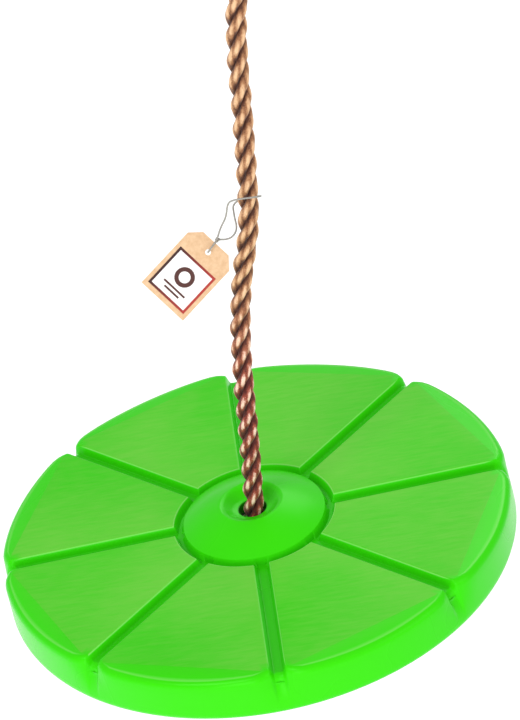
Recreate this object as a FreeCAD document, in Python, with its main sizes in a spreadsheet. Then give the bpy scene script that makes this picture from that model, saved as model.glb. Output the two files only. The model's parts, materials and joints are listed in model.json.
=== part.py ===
"""Round plate swing: a grooved plastic seat on a knotted rope, hung from a ring and a snap hook.

Millimetres, +Z up. The origin is the hang point, on the inside of the hook's top bow.
"""
import FreeCAD
import Part
import math
import os

import Sketcher
from FreeCAD import Placement, Rotation, Vector

# ---------------------------------------------------------------- driving dimensions
SIZES = {
    # snap hook, 60 x 6
    "hook_wire": 6.0,
    "hook_small_bow": 6.5,        # centreline radius
    "hook_large_bow": 10.5,       # centreline radius
    "hook_bow_spacing": 37.0,     # centre to centre
    "gate_foot": 6.0,             # large bow to the gate's foot, along the gate's line
    "gate_head": 5.8,             # gate's head to the small bow
    "tongue_thickness": 2.4,
    "tongue_length": 5.6,
    "latch_head": 2.2,            # diameter of the nose's cross head
    "rivet_diameter": 2.0,
    "plunger_diameter": 2.4,
    "plunger_length": 3.0,
    "spring_wire": 0.4,
    "spring_pitch": 1.05,
    "bore_end_wall": 1.0,         # spring's bore to the nose's slot
    # welded ring
    "ring_wire": 6.0,
    "ring_radius": 18.0,          # centreline radius
    # rope
    "rope_diameter": 12.0,
    "eye_length": 39.0,           # ring wire to the throat of the eye
    "seizing_height": 14.0,
    "seizing_wall": 1.4,
    "splice_length": 78.0,
    "knot_radius": 14.5,
    "knot_half_height": 13.0,
    "tail_length": 30.0,
    "whipping_height": 9.0,
    "whipping_wall": 0.9,
    # seat
    "seat_level": -522.9,         # tilt centre, in the middle of the washer
    "seat_tilt": 9.0,             # degrees, left side down
    "seat_yaw": 4.0,              # degrees, of the grooves about the seat's axis
    "seat_radius": 147.5,
    "seat_depth": 27.0,           # pads' level to the rim's foot
    "pad_wall": 3.8,
    "rim_wall": 4.0,
    "rim_edge": 1.5,
    "crease_radius": 134.0,       # pad's straight outer edge, from the seat's axis
    "crease_slope": 7.0,          # degrees
    "sector_count": 8,
    "groove_width": 8.5,
    "groove_floor": 5.0,
    "groove_depth": 5.0,
    "dome_radius": 41.0,
    "dome_height": 10.0,
    "dome_mid_radius": 30.0,
    "dome_mid_height": 5.6,
    "ring_groove_width": 5.5,
    "recess_radius": 17.5,
    "recess_floor_radius": 11.0,
    "recess_depth": 5.0,
    "throat_clearance": 1.8,      # rope to the seat's throat
    "throat_web": 6.5,
    "cavity_clearance": 9.5,      # knot to the wall round it
    "cavity_wall": 3.5,
    "cavity_depth": 24.0,
    "rib_wall": 3.0,
    "rib_depth": 22.0,
    "beam_width": 12.0,
    "hoop_radius": 86.0,
    # washer under the seat
    "washer_radius": 15.0,
    "bore_clearance": 1.2,        # rope to the washer's bore
    "washer_thickness": 2.0,
    # hang tag
    "card_width": 31.0,
    "card_length": 43.3,
    "card_thickness": 0.5,
    "card_chamfer": 6.0,
    "hole_radius": 1.6,
    "hole_inset": 6.4,
    "label_side": 26.3,
    "label_lift": 2.8,            # card's foot to the label's foot
    "label_thickness": 0.15,
    "card_lean": 36.0,            # degrees, top leaning back
    "card_turn": 45.0,            # degrees, top leaning right
    "string_diameter": 1.0,
    "string_knot_radius": 1.5,
    # fits
    "running_gap": 0.3,
    "knot_gap": 1.6,
    "pin_clearance": 0.05,
}

# The rope's route, foot to head: (x, y, height above the tilt centre).
ROPE_WAVE = [
    (-1.0, 0.0, 48.0),
    (-3.4, 0.5, 90.0),
    (-4.4, 0.8, 130.0),
    (-2.4, 0.2, 166.0),
    (3.2, -0.4, 200.0),
    (2.6, -0.2, 238.0),
    (1.4, 0.4, 278.0),
    (0.0, 0.0, 302.0),
]

# The tag string's route from the card's hole, round the rope and back to the hole:
# (right, up, out) in the card's plane, from the hole.
STRING_ROUTE = [
    (0.0, 0.0, 0.1),
    (0.6, 0.7, 2.2),
    (3.0, 3.6, 2.4),
    (5.2, 6.8, 0.9),
    (7.3, 12.9, 4.7),
    (10.8, 18.7, 10.3),
    (11.5, 24.8, 18.6),
    (14.1, 26.8, 29.2),
    (30.0, 28.0, 30.7),
    (30.1, 29.4, 11.8),
    (14.3, 27.2, 9.7),
    (15.1, 18.6, 6.9),
    (16.5, 12.6, 4.1),
    (14.4, 8.3, 1.5),
    (10.6, 6.5, 0.4),
    (5.6, 6.9, -0.5),
    (3.0, 3.6, -2.2),
    (0.6, 0.7, -2.2),
    (0.0, 0.0, -0.1),
]
STRING_KNOT_SPOT = (5.4, 6.85, 0.2)
# The route is drawn for this rope. Its corners, by their place in the list, move out
# with a thicker one: (x, y) says which way.
STRING_ROPE = 12.0
STRING_CORNERS = {7: (-1, -1), 8: (1, -1), 9: (1, 1), 10: (-1, 1), 11: (-1, 0), 12: (-1, 0)}
HOLE_SPOT = (-20.1, 0.0, 183.9)   # the card's hole, from the tilt centre

doc = FreeCAD.newDocument("plate_swing")
sheet = doc.addObject("Spreadsheet::Sheet", "Sizes")
for row, (name, value) in enumerate(SIZES.items(), start=1):
    sheet.set(f"A{row}", name)
    sheet.set(f"B{row}", str(value))
    sheet.setAlias(f"B{row}", name)
SPARE_CELL = "D1"
doc.recompute()


def size(name):
    """A driving dimension, as the sheet holds it."""
    return float(sheet.get(name))


PARTS = {}


def keep(name, obj):
    """Name an object of the document as one finished piece."""
    obj.Label = name
    PARTS[name] = obj
    return obj


# ---------------------------------------------------------------- helpers
def bind(obj, **expressions):
    """Bind properties to expressions in which $name is a cell of the sheet."""
    for prop, text in expressions.items():
        obj.setExpression(prop, text.replace("$", "Sizes."))


def origin_plane(body, role):
    """The plane of a body's own origin that has this role."""
    return next(item for item in body.Origin.OriginFeatures if item.Role == role)


def outline(body, role, name, corners, offset=None):
    """A closed sketch whose corners are pairs of expressions, each held by two dimensions."""
    sketch = body.newObject("Sketcher::SketchObject", name)
    sketch.AttachmentSupport = [(origin_plane(body, role), "")]
    sketch.MapMode = "FlatFace"
    if offset is not None:
        sketch.AttachmentOffset = offset
    probe = [(worth(x), worth(y)) for x, y in corners]
    for index, here in enumerate(probe):
        there = probe[(index + 1) % len(probe)]
        sketch.addGeometry(Part.LineSegment(Vector(*here, 0), Vector(*there, 0)), False)
    for index in range(len(probe)):
        after = (index + 1) % len(probe)
        sketch.addConstraint(Sketcher.Constraint("Coincident", index, 2, after, 1))
    for index, (x, y) in enumerate(corners):
        for kind, text, value in (("DistanceX", x, probe[index][0]), ("DistanceY", y, probe[index][1])):
            number = sketch.addConstraint(Sketcher.Constraint(kind, -1, 1, index, 1, value))
            sketch.setExpression(f"Constraints[{number}]", text.replace("$", "Sizes."))
    return sketch


def worth(text):
    """The number that an expression of the sheet's cells is worth now, by way of a spare cell."""
    sheet.set(SPARE_CELL, "=" + text.replace("$", ""))
    sheet.recompute()
    return float(sheet.get(SPARE_CELL))


def polar(body, feature, name):
    """Repeat a feature once in every sector, about the body's Z axis."""
    pattern = body.newObject("PartDesign::PolarPattern", name)
    pattern.Originals = [feature]
    pattern.Axis = (origin_plane(body, "Z_Axis"), [""])
    pattern.Angle = 360
    bind(pattern, Occurrences="$sector_count")
    body.Tip = pattern
    return pattern


def expect(body, grows, what):
    """Recompute, and check that the body's volume has grown or shrunk since the last step."""
    before = getattr(expect, "volume", 0.0)
    doc.recompute()
    volume = body.Shape.Volume
    if (volume > before) is not grows:
        raise RuntimeError(f"{what}: volume went from {before:.0f} to {volume:.0f}")
    expect.volume = volume


def tangent_path(points):
    """Straight runs joined by tangent arcs as large as the two runs allow, and the smallest radius."""
    edges = []
    start = points[0]
    tightest = math.inf
    for before, corner, after in zip(points, points[1:], points[2:]):
        back = before - corner
        ahead = after - corner
        reach = 0.45 * min(back.Length, ahead.Length)
        half_turn = (math.pi - back.getAngle(ahead)) / 2
        tightest = min(tightest, reach / math.tan(half_turn))
        enter = corner + back.normalize() * reach
        leave = corner + ahead.normalize() * reach
        chord_middle = (enter + leave) / 2
        inward = (chord_middle - corner).normalize()
        radius = reach / math.tan(half_turn)
        middle = corner + inward * (radius / math.cos(half_turn) - radius)
        edges.append(Part.LineSegment(start, enter).toShape())
        edges.append(Part.Arc(enter, middle, leave).toShape())
        start = leave
    edges.append(Part.LineSegment(start, points[-1]).toShape())
    return Part.Wire(edges), tightest


def pipe(path, radius):
    """A round solid swept along a smooth wire."""
    first = path.Edges[0]
    start = first.valueAt(first.FirstParameter)
    ahead = first.tangentAt(first.FirstParameter)
    section = Part.Wire(Part.makeCircle(radius, start, ahead))
    return path.makePipeShell([section], True, False)


def cord_tube(name, points, diameter):
    """A cord's plain tube along its route, with its radii and volume reported."""
    path, tightest = tangent_path(points)
    shape = pipe(path, diameter / 2)
    expected = math.pi * (diameter / 2) ** 2 * path.Length
    print(f"{name}: length {path.Length:.1f}, tightest radius {tightest:.1f}, "
          f"volume {shape.Volume:.0f} of {expected:.0f}")
    if abs(shape.Volume - expected) > 0.02 * expected:
        raise RuntimeError(f"{name}: the tube's volume is off")
    return solid_feature(name, shape)


def solid_feature(name, shape, placement=None):
    """A piece whose shape is worked out here, from the sheet's sizes."""
    feature = doc.addObject("Part::Feature", name)
    feature.Shape = shape
    if placement is not None:
        feature.Placement = placement
    return keep(name, feature)


def rod(radius, start, end):
    """A round bar between two points."""
    return Part.makeCylinder(radius, (end - start).Length, start, end - start)


def block(centre, x_size, y_size, z_size, turn=Rotation()):
    """A box about a centre, turned about it."""
    shape = Part.makeBox(x_size, y_size, z_size, Vector(-x_size / 2, -y_size / 2, -z_size / 2))
    shape.Placement = Placement(centre, turn)
    return shape


# ---------------------------------------------------------------- snap hook
WIRE = size("hook_wire") / 2
SMALL = size("hook_small_bow")
LARGE = size("hook_large_bow")
GAP = size("running_gap")
small_centre = Vector(0, 0, WIRE - SMALL)
large_centre = small_centre - Vector(0, 0, size("hook_bow_spacing"))
lean = math.asin((LARGE - SMALL) / size("hook_bow_spacing"))
left = Vector(-math.cos(lean), 0, math.sin(lean))
right = Vector(math.cos(lean), 0, math.sin(lean))
gate_foot_end = large_centre + left * LARGE
gate_line = (small_centre + left * SMALL) - gate_foot_end
up_gate = Vector(gate_line).normalize()
gate_turn = Rotation(Vector(0, 0, 1), up_gate)

foot = gate_foot_end + up_gate * size("gate_foot")
head = gate_foot_end + gate_line - up_gate * size("gate_head")
PIVOT_INSET = WIRE + GAP                       # the gate's foot is round about its rivet
pivot = foot + up_gate * PIVOT_INSET
latch = head - up_gate * (size("tongue_length") - size("latch_head") / 2 - 0.2)
fork_depth = PIVOT_INSET + WIRE
nose_depth = size("tongue_length") + GAP
bore_end = head - up_gate * (nose_depth + size("bore_end_wall"))


def hook_wire_path():
    """The bent wire's centreline, from the nose over both bows to the gate's foot."""
    nose_start = small_centre + left * SMALL
    back_top = small_centre + right * SMALL
    back_foot = large_centre + right * LARGE
    crown = small_centre + Vector(0, 0, SMALL)
    sole = large_centre - Vector(0, 0, LARGE)
    return Part.Wire([
        Part.LineSegment(head + up_gate * GAP, nose_start).toShape(),
        Part.Arc(nose_start, crown, back_top).toShape(),
        Part.LineSegment(back_top, back_foot).toShape(),
        Part.Arc(back_foot, sole, gate_foot_end).toShape(),
        Part.LineSegment(gate_foot_end, foot - up_gate * GAP).toShape(),
    ])


def make_hook_body():
    """Bent wire with a tang for the rivet and a nose with a cross head."""
    thick = size("tongue_thickness")
    root = 1.5                                 # how far each tongue starts inside the wire
    tang_foot = foot - up_gate * (GAP + root)
    tang = block((tang_foot + pivot) / 2, 2 * WIRE - 1.4, thick, (pivot - tang_foot).Length, gate_turn)
    tang = tang.fuse(rod(WIRE - 0.7, pivot - Vector(0, thick / 2, 0), pivot + Vector(0, thick / 2, 0)))
    nose_top = head + up_gate * (GAP + root)
    nose = block((nose_top + latch) / 2, 2.0, thick, (nose_top - latch).Length, gate_turn)
    head_half = Vector(0, WIRE - 0.5, 0)
    nose = nose.fuse(rod(size("latch_head") / 2, latch - head_half, latch + head_half))
    body = pipe(hook_wire_path(), WIRE).fuse([tang, nose])
    bore = rod(size("rivet_diameter") / 2, pivot - Vector(0, WIRE, 0), pivot + Vector(0, WIRE, 0))
    return body.cut(bore).removeSplitter()


def make_gate():
    """Round gate, forked at the rivet and slotted for the nose, with the spring's bore."""
    slot = size("tongue_thickness") + 2 * GAP
    bar = rod(WIRE, foot, head)
    upper = block((pivot + head) / 2, 3 * WIRE, 3 * WIRE, (head - pivot).Length, gate_turn)
    foot_round = rod(WIRE, pivot - Vector(0, WIRE, 0), pivot + Vector(0, WIRE, 0))
    gate = bar.common(upper.fuse(foot_round))
    fork = block(foot + up_gate * fork_depth / 2, 3 * WIRE, slot, fork_depth, gate_turn)
    inner = up_gate.cross(Vector(0, 1, 0)) * -1
    nose_slot = block(head - up_gate * nose_depth / 2, 3 * WIRE, slot, nose_depth, gate_turn)
    head_room = size("latch_head") + 2 * GAP
    head_slot = block(latch - inner * (1.5 * WIRE - head_room / 2), 3 * WIRE, 3 * WIRE, head_room, gate_turn)
    bore_radius = size("plunger_diameter") / 2 + size("pin_clearance")
    bore = rod(bore_radius, foot + up_gate * fork_depth * 0.9, bore_end)
    eye_radius = size("rivet_diameter") / 2 + size("pin_clearance")
    eye = rod(eye_radius, pivot - Vector(0, 2 * WIRE, 0), pivot + Vector(0, 2 * WIRE, 0))
    return gate.cut([fork, nose_slot, head_slot, bore, eye])


tang_tip = pivot + up_gate * (WIRE - 0.7)
plunger_foot = tang_tip + up_gate * GAP
plunger_head = plunger_foot + up_gate * size("plunger_length")


def make_gate_spring():
    """Compression spring between the plunger and the end of its bore."""
    wire = size("spring_wire") / 2
    length = (bore_end - plunger_head).Length - 4 * wire
    coil = size("plunger_diameter") / 2 - 2 * wire
    helix = Part.makeHelix(size("spring_pitch"), length, coil)
    section = Part.Wire(Part.makeCircle(wire, Vector(coil, 0, 0), Vector(0, 1, 0)))
    spring = helix.makePipeShell([section], True, True)
    spring.Placement = Placement(plunger_head + up_gate * 2 * wire, gate_turn)
    return spring


solid_feature("hook_body", make_hook_body())
solid_feature("hook_gate", make_gate())
solid_feature("gate_spring", make_gate_spring())

plunger = doc.addObject("Part::Cylinder", "PlungerBar")
bind(plunger, Radius="$plunger_diameter / 2", Height="$plunger_length")
plunger.Placement = Placement(plunger_foot, gate_turn)
keep("gate_plunger", plunger)

rivet = doc.addObject("Part::Cylinder", "RivetBar")
bind(rivet, Radius="$rivet_diameter / 2", Height="$hook_wire - 0.2")
rivet.Placement = Placement(pivot - Vector(0, WIRE - 0.1, 0), Rotation(Vector(0, 0, 1), Vector(0, 1, 0)))
keep("gate_rivet", rivet)

# ---------------------------------------------------------------- welded ring
RING_WIRE = size("ring_wire") / 2
bow_wire_centre = large_centre - Vector(0, 0, LARGE)
ring_top = bow_wire_centre + Vector(0, 0, WIRE + GAP + RING_WIRE)
ring_centre = ring_top - Vector(0, 0, size("ring_radius"))
ring = doc.addObject("Part::Torus", "RingTorus")
bind(ring, Radius1="$ring_radius", Radius2="$ring_wire / 2")
ring.Placement = Placement(ring_centre, Rotation(Vector(0, 1, 0), 90))
keep("hang_ring", ring)
ring_foot = ring_centre - Vector(0, 0, size("ring_radius"))

# ---------------------------------------------------------------- rope, from its head down
ROPE = size("rope_diameter") / 2
leg_offset = ROPE + 0.2
eye_radius = RING_WIRE + GAP + ROPE
throat = ring_foot.z - size("eye_length")


def make_rope_eye():
    """The loop over the ring: two legs side by side at the throat, and an arc round the wire."""
    leg_top = throat + size("seizing_height") + 2.0
    shoulder = ring_foot.z
    half = []
    for side in (-1, 1):
        half.append([Vector(side * leg_offset, 0, throat), Vector(side * leg_offset, 0, leg_top)])
    rise = shoulder - leg_top
    shift = eye_radius - leg_offset
    blend = (rise ** 2 + shift ** 2) / (4 * shift)      # two equal arcs that make the leg's side step
    sweep = 2 * math.atan2(shift, rise)
    edges = []
    for side, (low, high) in zip((-1, 1), half):
        middle = Vector(side * (leg_offset + shift / 2), 0, leg_top + rise / 2)
        first = Vector(side * (leg_offset + blend * (1 - math.cos(sweep / 2))), 0,
                       leg_top + blend * math.sin(sweep / 2))
        second = Vector(side * (eye_radius - blend * (1 - math.cos(sweep / 2))), 0,
                        shoulder - blend * math.sin(sweep / 2))
        end = Vector(side * eye_radius, 0, shoulder)
        run = [
            Part.LineSegment(low, high).toShape(),
            Part.Arc(high, first, middle).toShape(),
            Part.Arc(middle, second, end).toShape(),
        ]
        edges.append(run)
    crown = ring_foot + Vector(0, 0, eye_radius)
    over = Part.Arc(Vector(-eye_radius, 0, shoulder), crown, Vector(eye_radius, 0, shoulder)).toShape()
    path = Part.Wire(edges[0] + [over] + edges[1][::-1])
    return pipe(path, ROPE)


def make_seizing():
    """Twine bound round both legs of the eye at its throat."""
    outer = ROPE + size("seizing_wall")
    height = size("seizing_height")
    foot_level = throat + 1.0
    band = block(Vector(0, 0, foot_level + height / 2), 2 * leg_offset, 2 * outer, height)
    legs = []
    for side in (-1, 1):
        foot_point = Vector(side * leg_offset, 0, foot_level)
        band = band.fuse(Part.makeCylinder(outer, height, foot_point))
        legs.append(Part.makeCylinder(ROPE, height, foot_point))
    return band.cut(legs).removeSplitter()


solid_feature("rope_eye", make_rope_eye())
solid_feature("eye_seizing", make_seizing())

splice_top = doc.addObject("Part::Ellipse", "SpliceTop")
bind(splice_top, MajorRadius="$rope_diameter + 0.2", MinorRadius="$rope_diameter / 2 + 0.2")
splice_top.Placement = Placement(Vector(0, 0, throat), Rotation())
splice_foot = doc.addObject("Part::Ellipse", "SpliceFoot")
bind(splice_foot, MajorRadius="$rope_diameter / 2 + 0.01", MinorRadius="$rope_diameter / 2")
splice_foot.Placement = Placement(Vector(0, 0, throat - size("splice_length")), Rotation())
splice = doc.addObject("Part::Loft", "SpliceLoft")
splice.Sections = [splice_top, splice_foot]
splice.Solid = True
keep("rope_splice", splice)

seat_level = size("seat_level")
knot_top = seat_level - size("washer_thickness") / 2 - size("knot_gap")
knot_centre = Vector(0, 0, knot_top - size("knot_half_height"))
ROPE_INTO_KNOT = 0.6                           # the rope's foot, below the crown of the knot
rope_points = [Vector(0, 0, knot_top - ROPE_INTO_KNOT)]
rope_points += [Vector(x, y, seat_level + height) for x, y, height in ROPE_WAVE]
rope_points.append(Vector(0, 0, throat - size("splice_length")))
cord_tube("rope_main", rope_points, size("rope_diameter"))

knot = doc.addObject("Part::Ellipsoid", "KnotBall")
bind(knot, Radius1="$knot_half_height", Radius2="$knot_radius", Radius3="$knot_radius")
knot.Angle1, knot.Angle2 = -90, 90
knot.Placement = Placement(knot_centre, Rotation())
doc.recompute()
knot_shape = knot.Shape.cut(PARTS["rope_main"].Shape)
tail_foot = Vector(0, 0, knot_centre.z - size("knot_half_height") - size("tail_length"))
tail_head = Vector(0, 0, knot_centre.z - size("knot_half_height") + 2.0)
tail = solid_feature("rope_tail", rod(ROPE, tail_foot, tail_head))
solid_feature("stopper_knot", knot_shape.cut(tail.Shape))

whip_foot = tail_foot + Vector(0, 0, 4.0)
sleeve = doc.addObject("Part::Cylinder", "WhippingOuter")
bind(sleeve, Radius="$rope_diameter / 2 + $whipping_wall", Height="$whipping_height")
sleeve_bore = doc.addObject("Part::Cylinder", "WhippingBore")
bind(sleeve_bore, Radius="$rope_diameter / 2", Height="$whipping_height")
for item in (sleeve, sleeve_bore):
    item.Placement = Placement(whip_foot, Rotation())
band = doc.addObject("Part::Cut", "WhippingCut")
band.Base = sleeve
band.Tool = sleeve_bore
keep("tail_whipping", band)

# ---------------------------------------------------------------- seat and washer
seat_place = Placement(Vector(0, 0, seat_level), Rotation(Vector(0, 1, 0), -size("seat_tilt")))
seat_place = seat_place.multiply(Placement(Vector(), Rotation(Vector(0, 0, 1), size("seat_yaw"))))

BORE = "($rope_diameter / 2 + $bore_clearance)"
washer = doc.addObject("PartDesign::Body", "Washer")
section = outline(washer, "XZ_Plane", "WasherSection", [
    (BORE, "-$washer_thickness / 2"),
    ("$washer_radius", "-$washer_thickness / 2"),
    ("$washer_radius", "$washer_thickness / 2"),
    (BORE, "$washer_thickness / 2"),
])
spin = washer.newObject("PartDesign::Revolution", "WasherTurn")
spin.Profile = section
spin.ReferenceAxis = (origin_plane(washer, "Z_Axis"), [""])
spin.Angle = 360
washer.Placement = seat_place
keep("knot_washer", washer)

WEB_FOOT = "($washer_thickness / 2 + $running_gap)"
FLOOR = f"({WEB_FOOT} + $throat_web)"
PAD = f"({FLOOR} + $recess_depth - $dome_height)"
PAD_FOOT = f"({PAD} - $pad_wall)"
GROOVE = f"({PAD} - $groove_depth)"
GROOVE_FOOT = f"({GROOVE} - $pad_wall)"
SIDE = "(($groove_width - $groove_floor) / 2)"
RING_IN = "$dome_radius"
RING_OUT = "($dome_radius + $ring_groove_width)"
THROAT = "($rope_diameter / 2 + $throat_clearance)"
CAVITY = "($knot_radius + $cavity_clearance)"
BOSS = f"({CAVITY} + $cavity_wall)"

seat = doc.addObject("PartDesign::Body", "Seat")
shell = outline(seat, "XZ_Plane", "ShellSection", [
    (THROAT, WEB_FOOT),
    (THROAT, FLOOR),
    ("$recess_floor_radius", FLOOR),
    ("$recess_radius", f"{FLOOR} + $recess_depth"),
    ("$dome_mid_radius", f"{PAD} + $dome_mid_height"),
    (RING_IN, PAD),
    (f"{RING_IN} + {SIDE}", GROOVE),
    (f"{RING_OUT} - {SIDE}", GROOVE),
    (RING_OUT, PAD),
    ("$seat_radius - $rim_edge", PAD),
    ("$seat_radius", f"{PAD} - $rim_edge"),
    ("$seat_radius", f"{PAD} - $seat_depth"),
    ("$seat_radius - $rim_wall", f"{PAD} - $seat_depth"),
    ("$seat_radius - $rim_wall", PAD_FOOT),
    (f"{RING_OUT} + $pad_wall", PAD_FOOT),
    (f"{RING_OUT} + 1", GROOVE_FOOT),
    (f"{RING_IN} - 1", GROOVE_FOOT),
    (BOSS, f"{WEB_FOOT} - 1"),
    (BOSS, f"{WEB_FOOT} - $cavity_depth"),
    (CAVITY, f"{WEB_FOOT} - $cavity_depth"),
    (CAVITY, WEB_FOOT),
])
turned = seat.newObject("PartDesign::Revolution", "ShellTurn")
turned.Profile = shell
turned.ReferenceAxis = (origin_plane(seat, "Z_Axis"), [""])
turned.Angle = 360
expect(seat, True, "seat shell")

hoop = outline(seat, "XZ_Plane", "HoopSection", [
    ("$hoop_radius - $rib_wall / 2", f"{PAD} - $rib_depth"),
    ("$hoop_radius + $rib_wall / 2", f"{PAD} - $rib_depth"),
    ("$hoop_radius + $rib_wall / 2", f"{PAD_FOOT} + 0.5"),
    ("$hoop_radius - $rib_wall / 2", f"{PAD_FOOT} + 0.5"),
])
hoop_turn = seat.newObject("PartDesign::Revolution", "HoopTurn")
hoop_turn.Profile = hoop
hoop_turn.ReferenceAxis = (origin_plane(seat, "Z_Axis"), [""])
hoop_turn.Angle = 360
expect(seat, True, "hoop rib")


def radial_bar(name, width, inner, foot_level):
    """One bar under a groove, from inner to the rim, hanging from the pads' underside."""
    sketch = outline(seat, "YZ_Plane", name + "Section", [
        (f"-{width} / 2", foot_level),
        (f"{width} / 2", foot_level),
        (f"{width} / 2", f"{PAD_FOOT} + 0.5"),
        (f"-{width} / 2", f"{PAD_FOOT} + 0.5"),
    ])
    sketch.setExpression("AttachmentOffset.Base.z", inner.replace("$", "Sizes."))
    pad = seat.newObject("PartDesign::Pad", name)
    pad.Profile = sketch
    pad.setExpression("Length", f"$seat_radius - $rim_wall / 2 - {inner}".replace("$", "Sizes."))
    expect(seat, True, name)
    polar(seat, pad, name + "s")
    expect(seat, True, name + "s")


radial_bar("Beam", "$beam_width", f"({RING_OUT} - 1)", GROOVE_FOOT)
radial_bar("Rib", "$rib_wall", f"({BOSS} - 0.5)", f"({PAD} - $rib_depth)")

HALF_SECTOR = 180 / size("sector_count")
crease = outline(seat, "XZ_Plane", "CreaseSection", [
    ("$crease_radius", PAD),
    ("$seat_radius + 4", f"{PAD} - ($seat_radius + 4 - $crease_radius) * tan($crease_slope * 1 deg)"),
    ("$seat_radius + 4", f"{PAD} + 3"),
    ("$crease_radius", f"{PAD} + 3"),
], Placement(Vector(), Rotation(Vector(0, 1, 0), HALF_SECTOR)))
crease_cut = seat.newObject("PartDesign::Pocket", "Crease")
crease_cut.Profile = crease
crease_cut.Midplane = True
bind(crease_cut, Length="$seat_radius")
expect(seat, False, "crease")
polar(seat, crease_cut, "Creases")
expect(seat, False, "creases")

groove = outline(seat, "YZ_Plane", "GrooveSection", [
    ("-$groove_floor / 2", GROOVE),
    ("$groove_floor / 2", GROOVE),
    ("$groove_width / 2", PAD),
    ("$groove_width / 2", f"{PAD} + 3"),
    ("-$groove_width / 2", f"{PAD} + 3"),
    ("-$groove_width / 2", PAD),
])
groove.setExpression("AttachmentOffset.Base.z", f"{RING_OUT} - 2".replace("$", "Sizes."))
groove_cut = seat.newObject("PartDesign::Pocket", "Groove")
groove_cut.Profile = groove
groove_cut.Reversed = True
bind(groove_cut, Length="$seat_radius")
expect(seat, False, "groove")
polar(seat, groove_cut, "Grooves")
expect(seat, False, "grooves")
seat.Placement = seat_place
keep("seat_disc", seat)

# ---------------------------------------------------------------- hang tag
hole_point = Vector(*HOLE_SPOT) + Vector(0, 0, seat_level)
card_face = Rotation(Vector(1, 0, 0), 90 - size("card_lean"))
card_turn = Rotation(Vector(0, 0, 1), -size("card_turn"))
card_place = Placement(hole_point, card_face.multiply(card_turn))
CARD_FOOT = "($hole_inset - $card_length)"

card = doc.addObject("PartDesign::Body", "Card")
card_outline = outline(card, "XY_Plane", "CardOutline", [
    ("-$card_width / 2", CARD_FOOT),
    ("$card_width / 2", CARD_FOOT),
    ("$card_width / 2", "$hole_inset - $card_chamfer"),
    ("$card_width / 2 - $card_chamfer", "$hole_inset"),
    ("-$card_width / 2 + $card_chamfer", "$hole_inset"),
    ("-$card_width / 2", "$hole_inset - $card_chamfer"),
])
card_pad = card.newObject("PartDesign::Pad", "CardSheet")
card_pad.Profile = card_outline
card_pad.Midplane = True
bind(card_pad, Length="$card_thickness")
expect.volume = 0.0
expect(card, True, "card")
hole_sketch = card.newObject("Sketcher::SketchObject", "HoleCircle")
hole_sketch.AttachmentSupport = [(origin_plane(card, "XY_Plane"), "")]
hole_sketch.MapMode = "FlatFace"
hole_sketch.addGeometry(Part.Circle(Vector(), Vector(0, 0, 1), size("hole_radius")), False)
hole_sketch.addConstraint(Sketcher.Constraint("Coincident", 0, 3, -1, 1))
radius_number = hole_sketch.addConstraint(Sketcher.Constraint("Radius", 0, size("hole_radius")))
hole_sketch.setExpression(f"Constraints[{radius_number}]", "Sizes.hole_radius")
hole_cut = card.newObject("PartDesign::Pocket", "CardHole")
hole_cut.Profile = hole_sketch
hole_cut.Midplane = True
bind(hole_cut, Length="4 * $card_thickness")
expect(card, False, "card hole")
card.Placement = card_place
keep("tag_card", card)

label = doc.addObject("Part::Box", "LabelSheet")
bind(label, Length="$label_side", Width="$label_side", Height="$label_thickness")
label_corner = Vector(-size("label_side") / 2,
                      size("hole_inset") - size("card_length") + size("label_lift"),
                      size("card_thickness") / 2)
label.Placement = card_place.multiply(Placement(label_corner, Rotation()))
keep("tag_label", label)


def tag_point(right_way, up_way, out_way):
    """A place given in the card's plane, from its hole."""
    return hole_point + card_face.multVec(Vector(right_way, up_way, out_way))


CORNER_SHARE = 0.75                            # over a half: the curve cuts inside its corners
rope_growth = (size("rope_diameter") - STRING_ROPE) * CORNER_SHARE
string_points = [tag_point(*point) for point in STRING_ROUTE]
for place, (along_x, along_y) in STRING_CORNERS.items():
    string_points[place] += Vector(along_x * rope_growth, along_y * rope_growth, 0)
cord_tube("tag_string", string_points, size("string_diameter"))
string_knot = doc.addObject("Part::Sphere", "StringKnotBall")
bind(string_knot, Radius="$string_knot_radius")
string_knot.Placement = Placement(tag_point(*STRING_KNOT_SPOT), Rotation())
keep("string_knot", string_knot)

# ---------------------------------------------------------------- check and write
doc.recompute()
for obj in doc.Objects:
    if {"Invalid", "Error"} & set(obj.State):
        raise RuntimeError(f"{obj.Name} failed: {obj.State}")
for name, obj in PARTS.items():
    if obj.Shape.isNull() or not obj.Shape.isValid() or obj.Shape.Volume <= 0:
        raise RuntimeError(f"{name}: bad shape")

os.makedirs("parts", exist_ok=True)
for name, obj in PARTS.items():
    obj.Shape.exportStep(f"parts/{name}.step")
    box = obj.Shape.BoundBox
    print(f"{name}: {obj.Shape.Volume:.0f} mm3, z {box.ZMin:.1f} to {box.ZMax:.1f}")
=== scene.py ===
"""Plate swing: a grooved plastic seat on a twisted rope, with its ring, snap hook and hang tag.

Metres, in the CAD model's frame. The origin is the hang point.
"""
import json
import logging
import math
from dataclasses import dataclass, field
from enum import Enum
from typing import Callable, Iterable, Sequence

import bpy
from mathutils import Matrix, Vector


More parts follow.
